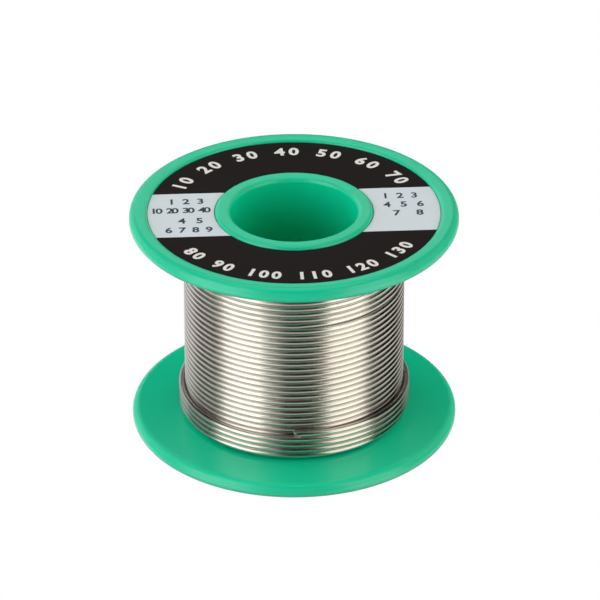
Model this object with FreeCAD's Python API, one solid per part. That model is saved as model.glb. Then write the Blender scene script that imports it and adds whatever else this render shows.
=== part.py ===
import FreeCAD, Part
import math
import os

# Solder wire spool: a barrel tube with a flange pressed on each end, a printed ring label
# in the upper flange, and one length of flux cored wire wound on the barrel. Millimetres.
# The origin is the centre of the face that the spool stands on, and +Z is its axis.

# Spool mouldings
spool_height = 38.2
flange_diameter = 52.5
flange_thickness = 2.6
rim_round = 1.25             # both outer edges of a flange
recess_diameter = 46.8       # sunk ring in a flange's outer face, which takes the label
recess_depth = 0.6
recess_edge_round = 0.54     # at most 0.9 of recess_depth
bore_diameter = 20.2
bore_edge_round = 0.5
collar_diameter = 25.2       # the barrel's ends, which show as a collar round the bore
collar_edge_round = 0.25
barrel_diameter = 26.4       # between the flanges, which seat on its two shoulders
press_clearance = 0.02       # radial, between a flange's hole and the collar in it

# Label
label_thickness = 0.12
label_margin = 0.13          # radial, to the collar and to the edge of the recess

# Winding
wire_diameter = 1.0
wire_sides = 12
flux_diameter = 0.34
flux_sides = 6
layer_count = 5              # full layers, of which only the last is drawn as turns
over_height = 5.6            # of the partial layer on top of them, from the lower flange
least_turn_gap = 0.42        # clear space between the turns that are drawn
seat_clearance = 0.03        # between the winding and what it lies against
climb_turns = 0.5            # the wire rises to the partial layer in this many turns
start_angle = 90.0           # where the wire's upper end lies, in degrees from +X

# Sizes that follow
flange_radius = flange_diameter / 2
recess_radius = recess_diameter / 2
bore_radius = bore_diameter / 2
collar_radius = collar_diameter / 2
barrel_radius = barrel_diameter / 2
wire_radius = wire_diameter / 2
lower_face = flange_thickness                    # inner faces of the two flanges
upper_face = spool_height - flange_thickness

layer_step = wire_diameter * math.sqrt(3) / 2    # a layer nests in the grooves of the last
core_inner_radius = barrel_radius + seat_clearance
layer_radius = core_inner_radius + wire_radius + (layer_count - 1) * layer_step
over_radius = layer_radius + layer_step
core_radius = layer_radius - wire_radius - seat_clearance
over_core_radius = core_radius + layer_step

first_turn_z = upper_face - seat_clearance - wire_radius
last_turn_z = lower_face + seat_clearance + wire_radius
turn_count = math.floor((first_turn_z - last_turn_z) / (wire_diameter + least_turn_gap))
turn_pitch = (first_turn_z - last_turn_z) / turn_count
climb_z = lower_face + over_height + turn_pitch * climb_turns
climb_start = (first_turn_z - climb_z) / turn_pitch
core_step_z = climb_z - wire_diameter


def quarter_arc(centre, radius, from_degrees, to_degrees):
    """The point that a rounded corner goes through and the one that it ends at."""
    def at(degrees):
        angle = math.radians(degrees)
        return centre[0] + radius * math.cos(angle), centre[1] + radius * math.sin(angle)

    return at((from_degrees + to_degrees) / 2), at(to_degrees)


def turned(outline):
    """The solid that an outline sweeps about Z. The outline's items are (radius, height)
    points, joined by lines, and quarter arcs."""
    def place(point):
        return FreeCAD.Vector(point[0], 0, point[1])

    start = here = place(outline[0])
    edges = []
    for item in outline[1:]:
        if isinstance(item[0], tuple):
            through, end = place(item[0]), place(item[1])
            edges.append(Part.Arc(here, through, end).toShape())
        else:
            end = place(item)
            edges.append(Part.LineSegment(here, end).toShape())
        here = end
    edges.append(Part.LineSegment(here, start).toShape())
    face = Part.Face(Part.Wire(edges))
    return face.revolve(FreeCAD.Vector(), FreeCAD.Vector(0, 0, 1), 360)


def make_bottom_flange():
    """Disc with a rounded rim, a label recess in its outer face and a hole for the
    barrel's collar."""
    hole_radius = collar_radius + press_clearance
    round_ = min(rim_round, 0.48 * flange_thickness)
    rim = flange_radius - round_
    edge = min(recess_edge_round, 0.9 * recess_depth)
    lip = recess_radius + edge
    return turned([
        (hole_radius, recess_depth),
        (hole_radius, flange_thickness),
        (rim, flange_thickness),
        quarter_arc((rim, flange_thickness - round_), round_, 90, 0),
        (flange_radius, round_),
        quarter_arc((rim, round_), round_, 0, -90),
        (lip, 0),
        quarter_arc((lip, edge), edge, -90, -180),
        (recess_radius, recess_depth),
    ])


def make_top_flange():
    """The same moulding as the bottom one, turned over."""
    flange = make_bottom_flange()
    flange.rotate(FreeCAD.Vector(), FreeCAD.Vector(1, 0, 0), 180)
    flange.translate(FreeCAD.Vector(0, 0, spool_height))
    return flange


def make_barrel():
    """Tube with the bore through it. Its thinner ends pass through the flanges and stand
    level with their rims, as collars."""
    mouth = bore_radius + bore_edge_round
    edge = collar_radius - collar_edge_round
    return turned([
        (mouth, 0),
        quarter_arc((mouth, bore_edge_round), bore_edge_round, -90, -180),
        (bore_radius, spool_height - bore_edge_round),
        quarter_arc((mouth, spool_height - bore_edge_round), bore_edge_round, 180, 90),
        (edge, spool_height),
        quarter_arc((edge, spool_height - collar_edge_round), collar_edge_round, 90, 0),
        (collar_radius, upper_face),
        (barrel_radius, upper_face),
        (barrel_radius, lower_face),
        (collar_radius, lower_face),
        (collar_radius, collar_edge_round),
        quarter_arc((edge, collar_edge_round), collar_edge_round, 0, -90),
    ])


def make_top_label():
    """Paper ring on the floor of the top flange's recess."""
    floor = spool_height - recess_depth
    inner = collar_radius + label_margin
    outer = recess_radius - label_margin
    return turned([
        (inner, floor),
        (outer, floor),
        (outer, floor + label_thickness),
        (inner, floor + label_thickness),
    ])


def make_inner_winding():
    """The layers under the turns that show, as one plain core. It has a step where the
    partial layer lies."""
    bottom = lower_face + seat_clearance
    top = upper_face - seat_clearance
    return turned([
        (core_inner_radius, bottom),
        (over_core_radius, bottom),
        (over_core_radius, core_step_z),
        (core_radius, core_step_z),
        (core_radius, top),
        (core_inner_radius, top),
    ])


def wire_point(turns):
    """The wire's middle, that many turns down from its upper end."""
    share = min(max((turns - climb_start) / climb_turns, 0), 1)
    rise = share * share * (3 - 2 * share)
    radius = layer_radius + (over_radius - layer_radius) * rise
    angle = math.radians(start_angle) - 2 * math.pi * turns
    return FreeCAD.Vector(radius * math.cos(angle), radius * math.sin(angle),
                          first_turn_z - turn_pitch * turns)


def wire_direction(turns):
    step = 1e-4
    return (wire_point(turns + step) - wire_point(turns - step)).normalize()


def arc_edge(start, apex, end):
    """The arc that touches the two equal legs from start to apex and from apex to end."""
    middle = (start + end) * 0.5
    half_chord = (end - start).Length / 2
    legs_height = (apex - middle).Length
    sagitta = half_chord * math.tan(math.atan2(legs_height, half_chord) / 2)
    through = middle + (apex - middle).normalize() * sagitta
    return Part.Arc(start, through, end).toShape()


def biarc_edges(start, start_direction, end, end_direction):
    """Two arcs from start to end, smooth at both ends and where they meet."""
    reach = end - start
    a = 2 * (1 - start_direction.dot(end_direction))
    b = reach.dot(start_direction + end_direction)
    leg = (math.sqrt(b * b + a * reach.dot(reach)) - b) / a
    first_apex = start + start_direction * leg
    second_apex = end - end_direction * leg
    meeting = (first_apex + second_apex) * 0.5
    return [arc_edge(start, first_apex, meeting), arc_edge(meeting, second_apex, end)]


def make_wire_path():
    """The wire's middle line: biarcs of half a turn, with a straight stretch one wire long
    at each end."""
    stations = [k / 2 for k in range(2 * turn_count + 1)]
    points = [wire_point(turns) for turns in stations]
    directions = [wire_direction(turns) for turns in stations]
    start = points[0] - directions[0] * wire_diameter
    end = points[-1] + directions[-1] * wire_diameter
    edges = [Part.LineSegment(start, points[0]).toShape()]
    for k in range(2 * turn_count):
        edges += biarc_edges(points[k], directions[k], points[k + 1], directions[k + 1])
    edges.append(Part.LineSegment(points[-1], end).toShape())
    return Part.Wire(edges)


def swept_rod(diameter, sides):
    """A rod of that many sides along the wire's whole way, in one unbroken piece."""
    path = make_wire_path()
    start = path.Edges[0].Vertexes[0].Point
    forward = wire_direction(0)
    outward = FreeCAD.Vector(start.x, start.y, 0).normalize()
    upward = outward.cross(forward)
    corners = []
    for k in range(sides + 1):
        angle = 2 * math.pi * k / sides
        corners.append(start + (outward * math.cos(angle) + upward * math.sin(angle)) * (diameter / 2))
    return path.makePipeShell([Part.makePolygon(corners)], True, False)


def make_flux_core():
    """The rosin in the middle of the wire."""
    return swept_rod(flux_diameter, flux_sides)


def make_solder_wire():
    """The alloy round the flux, as the turns that show. It is built of the sides of two
    rods and the flat rings between their ends, which is far quicker than a cut."""
    faces = []
    ends = []
    for diameter, sides in ((wire_diameter, wire_sides), (flux_diameter, flux_sides)):
        rod = swept_rod(diameter, sides)
        ends.append([face for face in rod.Faces if len(face.Edges) == sides])
        faces += [face for face in rod.Faces if len(face.Edges) != sides]
    for disc, hole in zip(*ends):
        faces += disc.cut(hole).Faces
    return Part.Solid(Part.Shell(faces))


def measured_turn_gap():
    """The least clear space from the wire to its next turn, measured on points."""
    per_turn = 72
    points = make_wire_path().discretize(turn_count * per_turn)
    least = min((here - there).Length
                for i, here in enumerate(points)
                for there in points[i + per_turn // 2:i + 3 * per_turn // 2])
    return least - wire_diameter


def main():
    os.makedirs("parts", exist_ok=True)
    pieces = {
        "barrel": make_barrel(),
        "bottom_flange": make_bottom_flange(),
        "top_flange": make_top_flange(),
        "top_label": make_top_label(),
        "inner_winding": make_inner_winding(),
        "solder_wire": make_solder_wire(),
        "flux_core": make_flux_core(),
    }
    for name, shape in pieces.items():
        print(name, "valid", shape.isValid(), "solids", len(shape.Solids),
              "volume", round(shape.Volume, 1))
        shape.exportStep(os.path.join("parts", name + ".step"))
    print("turns", turn_count, "least gap", round(measured_turn_gap(), 3))


main()
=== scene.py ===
import math
import random

import bmesh
import bpy
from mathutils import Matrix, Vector


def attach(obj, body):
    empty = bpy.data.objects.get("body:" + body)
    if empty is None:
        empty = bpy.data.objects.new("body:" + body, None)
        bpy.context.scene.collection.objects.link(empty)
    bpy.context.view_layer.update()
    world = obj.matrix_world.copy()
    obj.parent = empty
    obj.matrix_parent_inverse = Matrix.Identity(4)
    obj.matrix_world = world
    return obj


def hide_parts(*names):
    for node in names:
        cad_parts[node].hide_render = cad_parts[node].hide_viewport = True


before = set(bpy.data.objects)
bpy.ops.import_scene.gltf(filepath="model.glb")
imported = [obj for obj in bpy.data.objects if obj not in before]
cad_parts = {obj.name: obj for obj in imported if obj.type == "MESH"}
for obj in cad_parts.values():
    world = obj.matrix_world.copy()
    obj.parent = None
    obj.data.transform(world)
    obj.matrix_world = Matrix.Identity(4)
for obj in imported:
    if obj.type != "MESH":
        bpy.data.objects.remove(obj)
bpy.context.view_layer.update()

# A small reel of flux cored solder wire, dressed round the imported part. Metres, Z is the
# reel's axis, and the reel stands on the floor at z 0.

mm = 0.001
bpy.ops.object.select_all(action="DESELECT")
print("frame loaded:", ", ".join(sorted(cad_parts)))


# Camera and the photo's framing

camera = {
    "azimuth": -3.5,            # degrees
    "elevation": 29.98,
    "distance": 748.4 * mm,     # to the middle of the reel
    "aimHeight": 19.1 * mm,
    "shiftRight": 0.957 * mm,   # puts the reel where it is in the photo's frame
    "shiftUp": 2.037 * mm,
    "lens": 279.05,
    "sensorWidth": 36,
    "clip": (0.01, 20),
}


def directionTo(azimuth, elevation):     # from the reel; azimuth 0 is -Y, the viewer's side
    turn, tilt = math.radians(azimuth), math.radians(elevation)
    return Vector((math.sin(turn) * math.cos(tilt), -math.cos(turn) * math.cos(tilt), math.sin(tilt)))


def addCamera():
    turn = math.radians(camera["azimuth"])
    back = directionTo(camera["azimuth"], camera["elevation"])
    right = Vector((math.cos(turn), math.sin(turn), 0))
    up = back.cross(right)
    place = Vector((0, 0, camera["aimHeight"])) + back * camera["distance"]
    place += right * camera["shiftRight"] + up * camera["shiftUp"]
    bpy.ops.object.camera_add(location=place, rotation=(-back).to_track_quat("-Z", "Y").to_euler())
    lookout = bpy.context.object
    lookout.data.sensor_width = camera["sensorWidth"]
    lookout.data.lens = camera["lens"]
    lookout.data.clip_start, lookout.data.clip_end = camera["clip"]
    bpy.context.scene.camera = lookout
    lookout.select_set(False)


addCamera()
print("camera set")


# Materials

def linear(hexColour):
    channels = [int(hexColour[k:k + 2], 16) / 255 for k in (1, 3, 5)]
    return [c / 12.92 if c <= 0.04045 else ((c + 0.055) / 1.055) ** 2.4 for c in channels] + [1.0]


def addNode(tree, kind, inputs=None, **settings):
    node = tree.nodes.new(kind)
    for name, value in settings.items():
        setattr(node, name, value)
    for name, value in (inputs or {}).items():
        if isinstance(value, bpy.types.NodeSocket):
            tree.links.new(value, node.inputs[name])
        else:
            node.inputs[name].default_value = value
    return node


def newMaterial(name):
    material = bpy.data.materials.new(name)
    material.use_nodes = True
    material.node_tree.nodes.clear()
    return material, material.node_tree


def addNoise(tree, place, size, detail, roughness=0.5):
    return addNode(tree, "ShaderNodeTexNoise", {
        "Vector": place, "Scale": 1 / size, "Detail": detail, "Roughness": roughness}).outputs["Fac"]


def addMottle(tree, noise, main, other):
    return addNode(tree, "ShaderNodeMixRGB", {
        "Fac": noise, "Color1": linear(main), "Color2": linear(other)}).outputs["Color"]


def addBump(tree, noise, depth, strength=0.5):
    return addNode(tree, "ShaderNodeBump", {
        "Height": noise, "Strength": strength, "Distance": depth}).outputs["Normal"]


def addShader(tree, inputs):
    shader = addNode(tree, "ShaderNodeBsdfPrincipled", inputs)
    addNode(tree, "ShaderNodeOutputMaterial", {"Surface": shader.outputs["BSDF"]})


reelPlastic = {
    "green": "#06CF9F",
    "flowGreen": "#04CA99",      # where the melt met and cooled
    "flowWidth": 14 * mm,
    "peelWidth": 3.0 * mm,       # faint waves of the mould's polish
    "peelDepth": 0.0015 * mm,
    "roughness": 0.25,
    "ior": 1.59,
}


def mouldedPolystyrene():
    # General purpose polystyrene, injection moulded in a polished mould: a clear, even
    # green with soft highlights, and a barely uneven skin where the melt flowed.
    material, tree = newMaterial("mouldedPolystyrene")
    spot = addNode(tree, "ShaderNodeTexCoord").outputs["Object"]
    flow = addNoise(tree, spot, reelPlastic["flowWidth"], 2.0)
    peel = addNoise(tree, spot, reelPlastic["peelWidth"], 1.0, 0.4)
    addShader(tree, {
        "Base Color": addMottle(tree, flow, reelPlastic["green"], reelPlastic["flowGreen"]),
        "Roughness": reelPlastic["roughness"],
        "Normal": addBump(tree, peel, reelPlastic["peelDepth"]),
        "IOR": reelPlastic["ior"]})
    return material


labelPaper = {
    "ink": "#110B0A",
    "inkThin": "#181110",       # where the paper's fibres take less ink
    "pale": "#DFE7EC",
    "paleThin": "#D6DFE5",
    "numerals": "#EDEBE7",
    "numeralsThin": "#E2E0DC",
    "panelInk": "#3A444E",
    "panelInkThin": "#46505A",
    "fibre": 0.35 * mm,
    "fibreDepth": 0.004 * mm,
    "inkRoughness": 0.42,
    "paperRoughness": 0.5,
    "ior": 1.5,
    "sheen": 0.06,               # satin varnish
}


def coatedPaper(name, main, thin, roughness):
    # Coated label paper, printed and cut to a ring: flat colour with a faint fibre mottle
    # and a low satin sheen.
    material, tree = newMaterial(name)
    spot = addNode(tree, "ShaderNodeTexCoord").outputs["Object"]
    fibre = addNoise(tree, spot, labelPaper["fibre"], 5.0, 0.6)
    addShader(tree, {
        "Base Color": addMottle(tree, fibre, main, thin),
        "Roughness": roughness,
        "Normal": addBump(tree, fibre, labelPaper["fibreDepth"]),
        "IOR": labelPaper["ior"],
        "Specular IOR Level": labelPaper["sheen"]})
    return material


solderAlloy = {
    "bright": "#E8E1DA",
    "dull": "#D6CEC6",           # a little oxide
    "dullLength": 9 * mm,
    "dieLineLength": 14 * mm,    # the die's marks run along the wire
    "dieLineWidth": 0.16 * mm,
    "dieLineDepth": 0.004 * mm,
    "roughness": (0.19, 0.27),   # of the bright and the dull parts
    "cloudRange": (0.35, 0.65),  # of the noise, between bright and dull
}


def drawnTinAlloy():
    # Tin and copper alloy drawn through a die: bright and warm, with fine lines along the
    # wire and a slightly cloudy oxide. The UV map holds metres along and round the wire.
    material, tree = newMaterial("drawnTinAlloy")
    along = addNode(tree, "ShaderNodeUVMap", uv_map="wireLength").outputs["UV"]
    stretched = addNode(tree, "ShaderNodeMapping", {
        "Vector": along, "Scale": (1 / solderAlloy["dieLineLength"], 1 / solderAlloy["dieLineWidth"], 1)})
    lines = addNoise(tree, stretched.outputs["Vector"], 1.0, 3.0, 0.6)
    cloud = addNoise(tree, along, solderAlloy["dullLength"], 4.0, 0.6)
    brightEnd, dullEnd = solderAlloy["cloudRange"]
    smooth, coarse = solderAlloy["roughness"]
    rough = addNode(tree, "ShaderNodeMapRange", {
        "Value": cloud, "From Min": brightEnd, "From Max": dullEnd, "To Min": smooth, "To Max": coarse})
    addShader(tree, {
        "Base Color": addMottle(tree, cloud, solderAlloy["bright"], solderAlloy["dull"]),
        "Metallic": 1.0,
        "Roughness": rough.outputs["Result"],
        "Normal": addBump(tree, lines, solderAlloy["dieLineDepth"])})
    return material


fluxRosin = {
    "amber": "#C48A34",
    "dark": "#A96E22",
    "grain": 0.15 * mm,
    "roughness": 0.3,
    "ior": 1.53,
}


def amberRosin():
    # Rosin flux, cast inside the wire as it is drawn: clear amber, glossy where it is cut.
    material, tree = newMaterial("amberRosin")
    spot = addNode(tree, "ShaderNodeTexCoord").outputs["Object"]
    grain = addNoise(tree, spot, fluxRosin["grain"], 3.0)
    addShader(tree, {
        "Base Color": addMottle(tree, grain, fluxRosin["amber"], fluxRosin["dark"]),
        "Roughness": fluxRosin["roughness"],
        "IOR": fluxRosin["ior"]})
    return material


plastic = mouldedPolystyrene()
ink = coatedPaper("blackInkOnPaper", labelPaper["ink"], labelPaper["inkThin"],
                  labelPaper["inkRoughness"])
palePaper = coatedPaper("palePaper", labelPaper["pale"], labelPaper["paleThin"],
                        labelPaper["paperRoughness"])
whitePaper = coatedPaper("bareWhitePaper", labelPaper["numerals"], labelPaper["numeralsThin"],
                         labelPaper["paperRoughness"])
slateInk = coatedPaper("slateInkOnPaper", labelPaper["panelInk"], labelPaper["panelInkThin"],
                       labelPaper["paperRoughness"])
alloy = drawnTinAlloy()
rosin = amberRosin()
print("materials made")


# Turned mouldings: rings grown from a circle, closed and rounded

turned = {
    "sameSpot": 0.01 * mm,       # an edge this close to a ring belongs to it
    "weld": 0.001 * mm,
    "smoothBelow": 30,           # degrees
}


def startRing(name, ring, segments):
    radius, height = ring
    bpy.ops.mesh.primitive_circle_add(vertices=segments, radius=radius, location=(0, 0, height))
    piece = bpy.context.object
    piece.name = name
    piece.data.name = name
    bpy.ops.object.transform_apply(location=True, rotation=True, scale=True)
    bpy.ops.object.mode_set(mode="EDIT")
    bpy.ops.mesh.select_mode(type="EDGE")
    bpy.ops.mesh.select_all(action="SELECT")
    return piece


def growRings(rings):
    for (oldRadius, oldHeight), (radius, height) in zip(rings, rings[1:]):
        bpy.ops.mesh.extrude_edges_move(TRANSFORM_OT_translate={"value": (0, 0, height - oldHeight)})
        share = radius / oldRadius
        bpy.ops.transform.resize(value=(share, share, 1), center_override=(0, 0, 0))


def joinOpenRings():
    bpy.ops.mesh.select_all(action="DESELECT")
    bpy.ops.mesh.select_non_manifold()
    bpy.ops.mesh.bridge_edge_loops()


def roundRings(piece, rings, size, segments):
    bpy.ops.mesh.select_all(action="DESELECT")
    mesh = bmesh.from_edit_mesh(piece.data)
    for edge in mesh.edges:
        at = [(math.hypot(v.co.x, v.co.y), v.co.z) for v in edge.verts]
        edge.select_set(any(all(math.dist(spot, ring) < turned["sameSpot"] for spot in at)
                            for ring in rings))
    bmesh.update_edit_mesh(piece.data)
    bpy.ops.mesh.bevel(offset=size, segments=segments, affect="EDGES")


def finishTurned(piece, material, node):
    bpy.ops.mesh.select_all(action="SELECT")
    bpy.ops.mesh.remove_doubles(threshold=turned["weld"])
    bpy.ops.mesh.normals_make_consistent(inside=False)
    bpy.ops.object.mode_set(mode="OBJECT")
    bpy.ops.object.shade_smooth_by_angle(angle=math.radians(turned["smoothBelow"]))
    bpy.ops.object.modifier_add(type="WEIGHTED_NORMAL")
    piece.modifiers[-1].keep_sharp = True
    bpy.ops.object.modifier_apply(modifier=piece.modifiers[-1].name)
    piece.data.materials.clear()
    piece.data.materials.append(material)
    settle(piece, node)


def settle(piece, node):
    piece.select_set(False)
    if node:
        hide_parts(node)
    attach(piece, "root")


flange = {
    "radius": 26.25 * mm,
    "thickness": 2.6 * mm,
    "rimRound": 1.25 * mm,
    "rimSteps": 10,
    "recessRadius": 23.4 * mm,
    "recessDepth": 0.6 * mm,
    "recessEdge": (0.9 * mm, 0.55 * mm),    # the rim's inner edge is rounded wide and shallow
    "recessEdgeStep": 15,                   # degrees
    "hole": 12.62 * mm,
    "segments": 224,
}
reelHeight = 38.2 * mm


def makeFlange(name, node, upsideDown):
    def level(height):
        return reelHeight - height if upsideDown else height

    wide, deep = flange["recessEdge"]
    edgeAngles = [math.radians(a) for a in range(0, 91, flange["recessEdgeStep"])]
    edgeRings = [(flange["recessRadius"] + wide * (1 - math.cos(a)), level(deep * (1 - math.sin(a))))
                 for a in edgeAngles]
    outerRings = [(flange["radius"], level(0)), (flange["radius"], level(flange["thickness"]))]
    rings = [(flange["hole"], level(flange["recessDepth"])),
             (flange["recessRadius"], level(flange["recessDepth"]))]
    rings += edgeRings + outerRings + [(flange["hole"], level(flange["thickness"]))]
    piece = startRing(name, rings[0], flange["segments"])
    growRings(rings)
    joinOpenRings()
    roundRings(piece, outerRings, flange["rimRound"], flange["rimSteps"])
    finishTurned(piece, plastic, node)


makeFlange("bottomFlange", "bottom_flange", upsideDown=False)
makeFlange("topFlange", "top_flange", upsideDown=True)
print("flanges made")


barrel = {
    "bore": 10.1 * mm,
    "boreEdge": 0.8 * mm,
    "collar": 12.6 * mm,
    "collarEdge": 0.75 * mm,
    "edgeSteps": 6,
    "radius": 13.2 * mm,
    "segments": 160,
}


def makeBarrel():
    lowFace, highFace = flange["thickness"], reelHeight - flange["thickness"]
    rings = [
        (barrel["bore"], 0),
        (barrel["collar"], 0),
        (barrel["collar"], lowFace),
        (barrel["radius"], lowFace),
        (barrel["radius"], highFace),
        (barrel["collar"], highFace),
        (barrel["collar"], reelHeight),
        (barrel["bore"], reelHeight),
    ]
    piece = startRing("barrelTube", rings[0], barrel["segments"])
    growRings(rings)
    joinOpenRings()
    roundRings(piece, [rings[0], rings[-1]], barrel["boreEdge"], barrel["edgeSteps"])
    roundRings(piece, [rings[1], rings[-2]], barrel["collarEdge"], barrel["edgeSteps"])
    finishTurned(piece, plastic, "barrel")


makeBarrel()
print("barrel made")


# Label

label = {
    "inner": 12.73 * mm,
    "outer": 23.27 * mm,
    "floor": 37.6 * mm,
    "thickness": 0.12 * mm,
    "bandLow": -7.3 * mm,       # the pale band runs along X between these
    "bandHigh": 6.85 * mm,
    "segments": 224,
}


def makeLabel():
    base, top = label["floor"], label["floor"] + label["thickness"]
    rings = [(label["inner"], base), (label["outer"], base), (label["outer"], top), (label["inner"], top)]
    piece = startRing("topLabel", rings[0], label["segments"])
    growRings(rings)
    joinOpenRings()
    for edge in (label["bandLow"], label["bandHigh"]):
        bpy.ops.mesh.select_all(action="SELECT")
        bpy.ops.mesh.bisect(plane_co=(0, edge, 0), plane_no=(0, 1, 0))
    finishTurned(piece, ink, "top_label")
    piece.data.materials.append(palePaper)
    for face in piece.data.polygons:
        if label["bandLow"] < face.center.y < label["bandHigh"]:
            face.material_index = 1


makeLabel()

labelPrint = {
    "height": 0.012 * mm,       # of the print
    "sunk": 0.004 * mm,         # of that, in the paper
    "capShare": 0.73,           # a digit's height as a share of the text's size
    "curveSteps": 3,
    "weld": 0.0005 * mm,
}


def addNumeral(text, capHeight, boldness, spot, turn):
    bpy.ops.object.text_add(location=(0, 0, 0))
    numeral = bpy.context.object
    numeral.data.body = text
    numeral.data.align_x = "CENTER"
    numeral.data.size = capHeight / labelPrint["capShare"]
    numeral.data.offset = boldness
    numeral.data.extrude = labelPrint["height"] / 2
    numeral.data.resolution_u = labelPrint["curveSteps"]
    bpy.ops.object.convert(target="MESH")
    numeral.location = spot
    numeral.rotation_euler = (0, 0, turn)
    bpy.ops.object.transform_apply(location=True, rotation=True, scale=True)
    numeral.select_set(False)
    return numeral


def joinNumerals(name, numerals, material):
    for numeral in numerals:
        numeral.select_set(True)
    bpy.context.view_layer.objects.active = numerals[0]
    bpy.ops.object.join()
    piece = bpy.context.object
    piece.name = name
    piece.data.name = name
    bpy.ops.object.mode_set(mode="EDIT")
    bpy.ops.mesh.select_all(action="SELECT")
    bpy.ops.mesh.remove_doubles(threshold=labelPrint["weld"])
    bpy.ops.mesh.normals_make_consistent(inside=False)
    bpy.ops.object.mode_set(mode="OBJECT")
    piece.data.materials.clear()
    piece.data.materials.append(material)
    settle(piece, None)


labelTop = label["floor"] + label["thickness"] + labelPrint["height"] / 2 - labelPrint["sunk"]

dialNumbers = {      # on each arc: text, middle and sweep in degrees, radius, digits' height
    "top": ("10 20 30 40 50 60 70", 90, -125.0, 19.0 * mm, 2.4 * mm),
    "bottom": ("80 90 100 110 120 130", -90, 109.5, 21.7 * mm, 2.2 * mm),
    "boldness": 0.12 * mm,
}


def makeDialNumbers():
    numerals = []
    for arc in ("top", "bottom"):
        text, middle, sweep, radius, capHeight = dialNumbers[arc]
        for k, digit in enumerate(text):
            if digit == " ":
                continue
            angle = math.radians(middle + sweep * (k / (len(text) - 1) - 0.5))
            spot = (radius * math.cos(angle), radius * math.sin(angle), labelTop)
            turn = angle - math.pi / 2 if arc == "top" else angle + math.pi / 2
            numerals.append(addNumeral(digit, capHeight, dialNumbers["boldness"], spot, turn))
    joinNumerals("labelNumerals", numerals, whitePaper)


makeDialNumbers()

panelRows = [        # text, middle x and y, width
    ("1 2 3", -17.0 * mm, 4.3 * mm, 5.7 * mm),
    ("10 20 30 40", -18.0 * mm, 1.4 * mm, 9.6 * mm),
    ("4 5", -16.5 * mm, -2.05 * mm, 3.9 * mm),
    ("6 7 8 9", -16.9 * mm, -5.0 * mm, 7.5 * mm),
    ("1 2 3", 17.2 * mm, 4.3 * mm, 5.7 * mm),
    ("4 5 6", 17.6 * mm, 1.4 * mm, 6.4 * mm),
    ("7 8", 18.1 * mm, -1.4 * mm, 4.8 * mm),
]
panelNumbers = {"capHeight": 1.7 * mm, "digitWidth": 1.1 * mm, "boldness": 0.06 * mm}


def makePanelNumbers():
    numerals = []
    for text, middleX, middleY, width in panelRows:
        for k, digit in enumerate(text):
            if digit != " ":
                x = middleX + (width - panelNumbers["digitWidth"]) * (k / (len(text) - 1) - 0.5)
                y = middleY - panelNumbers["capHeight"] / 2
                numerals.append(addNumeral(digit, panelNumbers["capHeight"], panelNumbers["boldness"],
                                           (x, y, labelTop), 0))
    joinNumerals("panelNumerals", numerals, slateInk)


makePanelNumbers()
print("label made")


# Winding. The path is worked out turn by turn, because no modelling tool lays wire in layers.

winding = {
    "wireRadius": 0.499 * mm,
    "topHeight": 35.07 * mm,     # of the first turn's middle, against the upper flange
    "bottomHeight": 3.13 * mm,   # of the last full turn's middle, on the lower flange
    "fullTurns": 32,
    "fullRadius": 17.2 * mm,
    "overTurns": 4.33,           # of the partial layer, which goes back up over the full one
    "overFront": 3.40 * mm,      # its height where it first crosses the front
    "overPitch": 0.98 * mm,
    "endAngle": -90.5,           # the cut end lies at the front
    "cutSlant": 1.1,             # its upper side reaches further than its lower side
    "cutBurr": (0.20 * mm, 0.74),    # the edge that the pliers squeezed: its length and width
    "looseRise": 0.03 * mm,      # how unevenly the full turns and those on top of them lie
    "looseRadius": 0.02 * mm,
    "waves": 9,
    "ease": 0.1 * mm,            # softens the bend where the wire begins to climb
    "overReach": 11,             # full turns, from the lowest, that the partial layer may lie on
    "steps": 96,                 # to a turn
    "sides": 16,
    "fluxRadius": 0.17 * mm,
    "fluxSides": 6,
    "fluxShare": 0.98,           # of the hollow in the wire
    "seed": 7,
}
slack = {                        # one pair of turns stands a little apart, right of the middle
    "turn": 8,                   # from the top, as it crosses the front
    "middle": -45.0,             # degrees
    "halfWidth": 75.0,
    "shift": 0.11 * mm,
    "reach": 1.6,                # in turns
}
chance = random.Random(winding["seed"])
waver = [(chance.uniform(0.4, 2.6), chance.uniform(0, 6.28), chance.uniform(0.3, 1.0))
         for _ in range(winding["waves"])]      # rate, phase and size of each wave along the wire
turnPitch = (winding["topHeight"] - winding["bottomHeight"]) / winding["fullTurns"]


def slackShift(turns, angle):
    away = abs((math.degrees(angle) - slack["middle"] + 180) % 360 - 180) / slack["halfWidth"]
    if away >= 1:
        return 0
    crossing = round(turns - (winding["endAngle"] - math.degrees(angle)) / 360 % 1)
    above = slack["turn"] - 0.5 - crossing
    size = slack["shift"] * math.exp(-(abs(above) - 0.5) / slack["reach"])
    return math.copysign(size, above) * (1 - away * away) ** 2


def windingPoint(turns):     # the wire's middle, that many turns down from its upper end
    full, over = winding["fullTurns"], winding["overTurns"]
    angle = math.radians(winding["endAngle"]) + 2 * math.pi * (full + over - turns)
    loose = sum(size * math.sin(rate * turns + phase) for rate, phase, size in waver) / len(waver)
    radius = winding["fullRadius"]
    if turns <= full:
        height = winding["topHeight"] - turnPitch * turns + slackShift(turns, angle)
        height += winding["looseRise"] * loose * min(1, 4 * turns, 4 * (full - turns))
    else:
        climbed = turns - full
        rise = (winding["overFront"] + winding["overPitch"] * (climbed - over % 1)
                - winding["bottomHeight"])
        height = winding["bottomHeight"] + (rise + math.hypot(rise, winding["ease"])) / 2
        below = [winding["bottomHeight"] + turnPitch * (k - climbed)
                 for k in range(1, winding["overReach"] + 1) if k > climbed]
        aside = min(abs(height - turn) for turn in below)       # to the turn that it rides on
        radius += math.sqrt(max(0, turnPitch ** 2 - aside ** 2))
        radius += winding["looseRadius"] * loose * min(1, 2 * climbed)
    return Vector((radius * math.cos(angle), radius * math.sin(angle), height))


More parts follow.
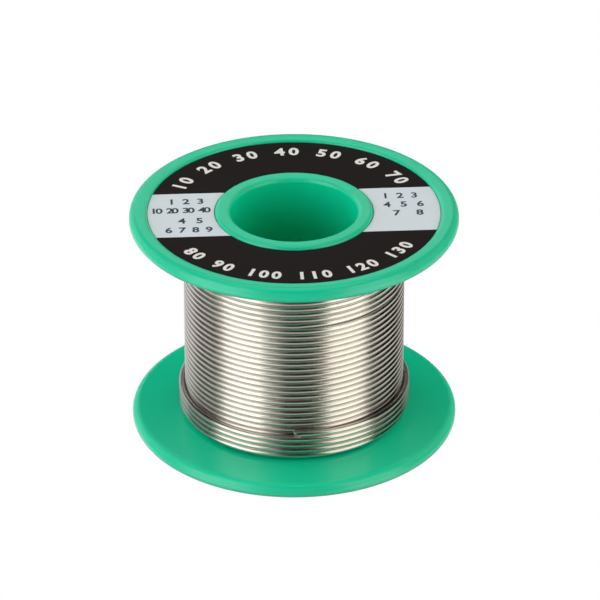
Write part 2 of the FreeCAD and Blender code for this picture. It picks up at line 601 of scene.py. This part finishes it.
def tubeAlong(points, radius, sides):
    rings = []
    for k, point in enumerate(points):
        ahead = points[min(k + 1, len(points) - 1)] - points[max(k - 1, 0)]
        outward = Vector((point.x, point.y, 0)).normalized()
        sideways = ahead.normalized().cross(outward).normalized()
        outward = sideways.cross(ahead.normalized()).normalized()
        rings.append([point + (outward * math.cos(a) + sideways * math.sin(a)) * radius
                      for a in (2 * math.pi * s / sides for s in range(sides))])
    return rings


def addTube(mesh, points, radius, sides, outwards=True):
    uv = mesh.loops.layers.uv.verify()
    rings = [[mesh.verts.new(p) for p in ring] for ring in tubeAlong(points, radius, sides)]
    stepLength = (points[1] - points[0]).length
    roundStep = 2 * math.pi * radius / sides
    for k in range(len(points) - 1):
        for s in range(sides):
            t = (s + 1) % sides
            corners = [(rings[k][s], k, s), (rings[k][t], k, s + 1),
                       (rings[k + 1][t], k + 1, s + 1), (rings[k + 1][s], k + 1, s)]
            if not outwards:
                corners.reverse()
            face = mesh.faces.new([corner[0] for corner in corners])
            face.smooth = True
            for loop, (vertex, along, around) in zip(face.loops, corners):
                loop[uv].uv = (along * stepLength, around * roundStep)
    return rings[0], rings[-1]


def meshObject(name, mesh, material, node):
    data = bpy.data.meshes.new(name)
    mesh.to_mesh(data)
    mesh.free()
    piece = bpy.data.objects.new(name, data)
    bpy.context.scene.collection.objects.link(piece)
    data.materials.append(material)
    settle(piece, node)


def closeEnd(mesh, outer, inner):       # the flat ring between the wire's skin and its flux
    edges = [mesh.edges.get((ring[k], ring[(k + 1) % len(ring)])) for ring in (outer, inner)
             for k in range(len(ring))]
    bmesh.ops.bridge_loops(mesh, edges=edges)
    for edge in edges:
        edge.smooth = False


def makeWire():
    steps = winding["steps"]
    total = winding["fullTurns"] + winding["overTurns"]
    points = [windingPoint(k / steps) for k in range(round(total * steps) + 1)]
    mesh = bmesh.new()
    mesh.loops.layers.uv.new("wireLength")
    skin = addTube(mesh, points, winding["wireRadius"], winding["sides"])
    hollow = addTube(mesh, points, winding["fluxRadius"], winding["fluxSides"], outwards=False)
    ahead = (points[-1] - points[-2]).normalized()
    for vertex in skin[1] + hollow[1]:
        vertex.co += ahead * winding["cutSlant"] * (vertex.co.z - points[-1].z)
    length, width = winding["cutBurr"]       # the squeezed edge stands ahead of the skin
    burr = [mesh.verts.new(points[-1] + (vertex.co - points[-1]) * width + ahead * length)
            for vertex in skin[1]]
    for k, vertex in enumerate(burr):
        mesh.faces.new((skin[1][k - 1], skin[1][k], vertex, burr[k - 1]))
        mesh.edges.get((skin[1][k - 1], skin[1][k])).smooth = False
    for vertex in hollow[1]:
        vertex.co += ahead * length
    closeEnd(mesh, skin[0], hollow[0])
    closeEnd(mesh, burr, hollow[1])
    bmesh.ops.recalc_face_normals(mesh, faces=mesh.faces)
    meshObject("solderWire", mesh, alloy, "solder_wire")
    core = bmesh.new()
    core.loops.layers.uv.new("wireLength")
    first, last = addTube(core, points, winding["fluxRadius"] * winding["fluxShare"],
                          winding["fluxSides"])
    core.faces.new(first)
    core.faces.new(last)
    bmesh.ops.recalc_face_normals(core, faces=core.faces)
    meshObject("fluxCore", core, rosin, "flux_core")


layersBelow = {
    "coreRadius": 15.9 * mm,      # plain, under the last hidden layer
    "innerRadius": 13.23 * mm,
    "layerRadius": 16.34 * mm,
    "clearance": 0.03 * mm,       # from the flanges
    "coreSegments": 96,
    "steps": 72,
    "sides": 10,
}


def makeLayersBelow():
    low = flange["thickness"] + layersBelow["clearance"]
    high = reelHeight - flange["thickness"] - layersBelow["clearance"]
    rings = [(layersBelow["innerRadius"], low), (layersBelow["coreRadius"], low),
             (layersBelow["coreRadius"], high), (layersBelow["innerRadius"], high)]
    core = startRing("woundLayers", rings[0], layersBelow["coreSegments"])
    growRings(rings)
    joinOpenRings()
    bpy.ops.mesh.select_all(action="SELECT")
    bpy.ops.mesh.normals_make_consistent(inside=False)
    bpy.ops.object.mode_set(mode="OBJECT")
    mesh = bmesh.new()
    mesh.from_mesh(core.data)
    mesh.loops.layers.uv.new("wireLength")
    count = winding["fullTurns"] * layersBelow["steps"]
    points = []
    for k in range(count + 1):       # this layer was wound upwards, so it leans the other way
        angle = -2 * math.pi * k / layersBelow["steps"]
        height = winding["bottomHeight"] + (winding["topHeight"] - winding["bottomHeight"]) * k / count
        points.append(Vector((layersBelow["layerRadius"] * math.cos(angle),
                              layersBelow["layerRadius"] * math.sin(angle), height)))
    first, last = addTube(mesh, points, winding["wireRadius"], layersBelow["sides"])
    mesh.faces.new(reversed(first))
    mesh.faces.new(last)
    bmesh.ops.recalc_face_normals(mesh, faces=mesh.faces)
    bpy.data.objects.remove(core)
    meshObject("woundLayers", mesh, alloy, "inner_winding")


makeLayersBelow()
makeWire()
print("wire wound")


# Studio: a pale floor in a white room, and two sets of soft lights. The gloss set makes the
# bands along the winding and the sheen on the rims, and the matt set lights plastic and paper
# from low on all sides.

studio = {
    "floorSize": 6.0,
    "floorColour": "#CCCCCC",
    "floorRoughness": 0.9,
    "tooth": 2 * mm,
    "toothDepth": 0.02 * mm,
    "toothStrength": 0.05,
    "roomDark": 0.006,           # what gloss finds above the horizon, between the lights
    "roomPale": 0.48,            # and below it
    "roomFill": 0.04,            # what matt surfaces get from all sides
    "horizon": (-0.40, -0.15),   # from pale to dark, as the direction's height
}


def addFloor():
    bpy.ops.mesh.primitive_plane_add(size=studio["floorSize"], location=(0, 0, 0))
    floor = bpy.context.object
    floor.name = "paperFloor"
    material, tree = newMaterial("whiteBackgroundPaper")
    spot = addNode(tree, "ShaderNodeTexCoord").outputs["Object"]
    tooth = addNoise(tree, spot, studio["tooth"], 2.0)
    paper = addNode(tree, "ShaderNodeBsdfDiffuse", {
        "Color": linear(studio["floorColour"]), "Roughness": studio["floorRoughness"],
        "Normal": addBump(tree, tooth, studio["toothDepth"], studio["toothStrength"])})
    burntOut = addNode(tree, "ShaderNodeEmission", {"Color": (1, 1, 1, 1), "Strength": 1.0})
    seen = addNode(tree, "ShaderNodeLightPath").outputs["Is Camera Ray"]
    mixed = addNode(tree, "ShaderNodeMixShader", {0: seen, 1: paper.outputs[0], 2: burntOut.outputs[0]})
    addNode(tree, "ShaderNodeOutputMaterial", {"Surface": mixed.outputs[0]})
    floor.data.materials.append(material)
    floor.visible_glossy = False
    floor.select_set(False)


cool, white, warm = (0.97, 0.985, 1.0), (1.0, 0.99, 0.97), (1.0, 0.975, 0.90)
# Name, azimuth from the camera, elevation, distance, width, height, brightness, colour, and
# the kind of surface that sees it
softBoxes = [
    ("leftSoftBox", -53.5, 8, 0.90, 0.73, 1.9, 1.28, white, "gloss"),
    ("leftSkirt", -48, 0, 0.95, 1.28, 2.0, 0.35, white, "gloss"),
    ("leftFloorGlow", -56, -50, 0.90, 0.75, 0.5, 0.6, white, "gloss"),
    ("leftSide", -104, -12, 1.2, 0.75, 1.6, 0.22, cool, "gloss"),
    ("leftScreen", -146, -8, 1.2, 1.30, 1.6, 0.48, cool, "gloss"),
    ("rightSoftBox", 55, 8, 0.90, 0.71, 1.9, 1.35, warm, "gloss"),
    ("rightFloorGlow", 61, -45, 0.95, 0.80, 0.7, 0.55, warm, "gloss"),
    ("rightSide", 101, -30, 1.2, 0.75, 1.1, 0.33, warm, "gloss"),
    ("rightScreen", 146, -10, 1.3, 1.0, 1.5, 0.19, warm, "gloss"),
    ("backPanel", 180, 44, 0.081, 0.085, 0.042, 0.7, white, "gloss"),
    ("overhead", 180, 82, 0.60, 0.50, 0.60, 0.9, white, "gloss"),
    ("leftFill", -60, 10, 0.95, 1.0, 1.4, 1.95, cool, "matt"),
    ("rightFill", 60, 10, 0.95, 1.0, 1.4, 1.1, warm, "matt"),
    ("frontFill", 0, 12, 1.2, 1.6, 0.6, 1.6, white, "matt"),
    ("leftBackFill", -120, 20, 1.0, 1.2, 1.2, 2.45, cool, "matt"),
    ("rightBackFill", 120, 20, 1.0, 1.2, 1.2, 2.4, warm, "matt"),
]


def addSoftBox(name, azimuth, elevation, distance, width, height, brightness, colour, seenBy):
    away = directionTo(azimuth + camera["azimuth"], elevation)
    place = away * distance + Vector((0, 0, camera["aimHeight"]))
    bpy.ops.object.light_add(type="AREA", location=place,
                             rotation=away.to_track_quat("Z", "Y").to_euler())
    lamp = bpy.context.object
    lamp.name = name
    lamp.data.shape = "RECTANGLE"
    lamp.data.size = width
    lamp.data.size_y = height
    lamp.data.color = colour
    lamp.data.energy = brightness * math.pi * width * height
    lamp.visible_camera = False
    lamp.visible_glossy = seenBy == "gloss"
    lamp.visible_diffuse = seenBy == "matt"
    lamp.select_set(False)


def addRoom():
    world = bpy.data.worlds.new("greyRoom")
    world.use_nodes = True
    tree = world.node_tree
    tree.nodes.clear()
    rays = addNode(tree, "ShaderNodeLightPath").outputs
    direction = addNode(tree, "ShaderNodeTexCoord").outputs["Generated"]
    height = addNode(tree, "ShaderNodeSeparateXYZ", {"Vector": direction}).outputs["Z"]
    low, high = studio["horizon"]
    strength = addNode(tree, "ShaderNodeMapRange", {
        "Value": height, "From Min": low, "From Max": high,
        "To Min": studio["roomPale"], "To Max": studio["roomDark"]}).outputs["Result"]

    def addGlow(brightness):
        return addNode(tree, "ShaderNodeBackground", {
            "Color": (1, 1, 1, 1), "Strength": brightness}).outputs["Background"]

    def addChoice(ray, otherwise, chosen):
        return addNode(tree, "ShaderNodeMixShader", {
            0: rays[ray], 1: otherwise, 2: chosen}).outputs["Shader"]

    unseen = addChoice("Is Glossy Ray", addGlow(studio["roomFill"]), addGlow(strength))
    seen = addChoice("Is Camera Ray", unseen, addGlow(1.0))
    addNode(tree, "ShaderNodeOutputWorld", {"Surface": seen})
    bpy.context.scene.world = world


addFloor()
for softBox in softBoxes:
    addSoftBox(*softBox)
addRoom()
bpy.context.scene.view_settings.view_transform = "Standard"
print("studio lit")
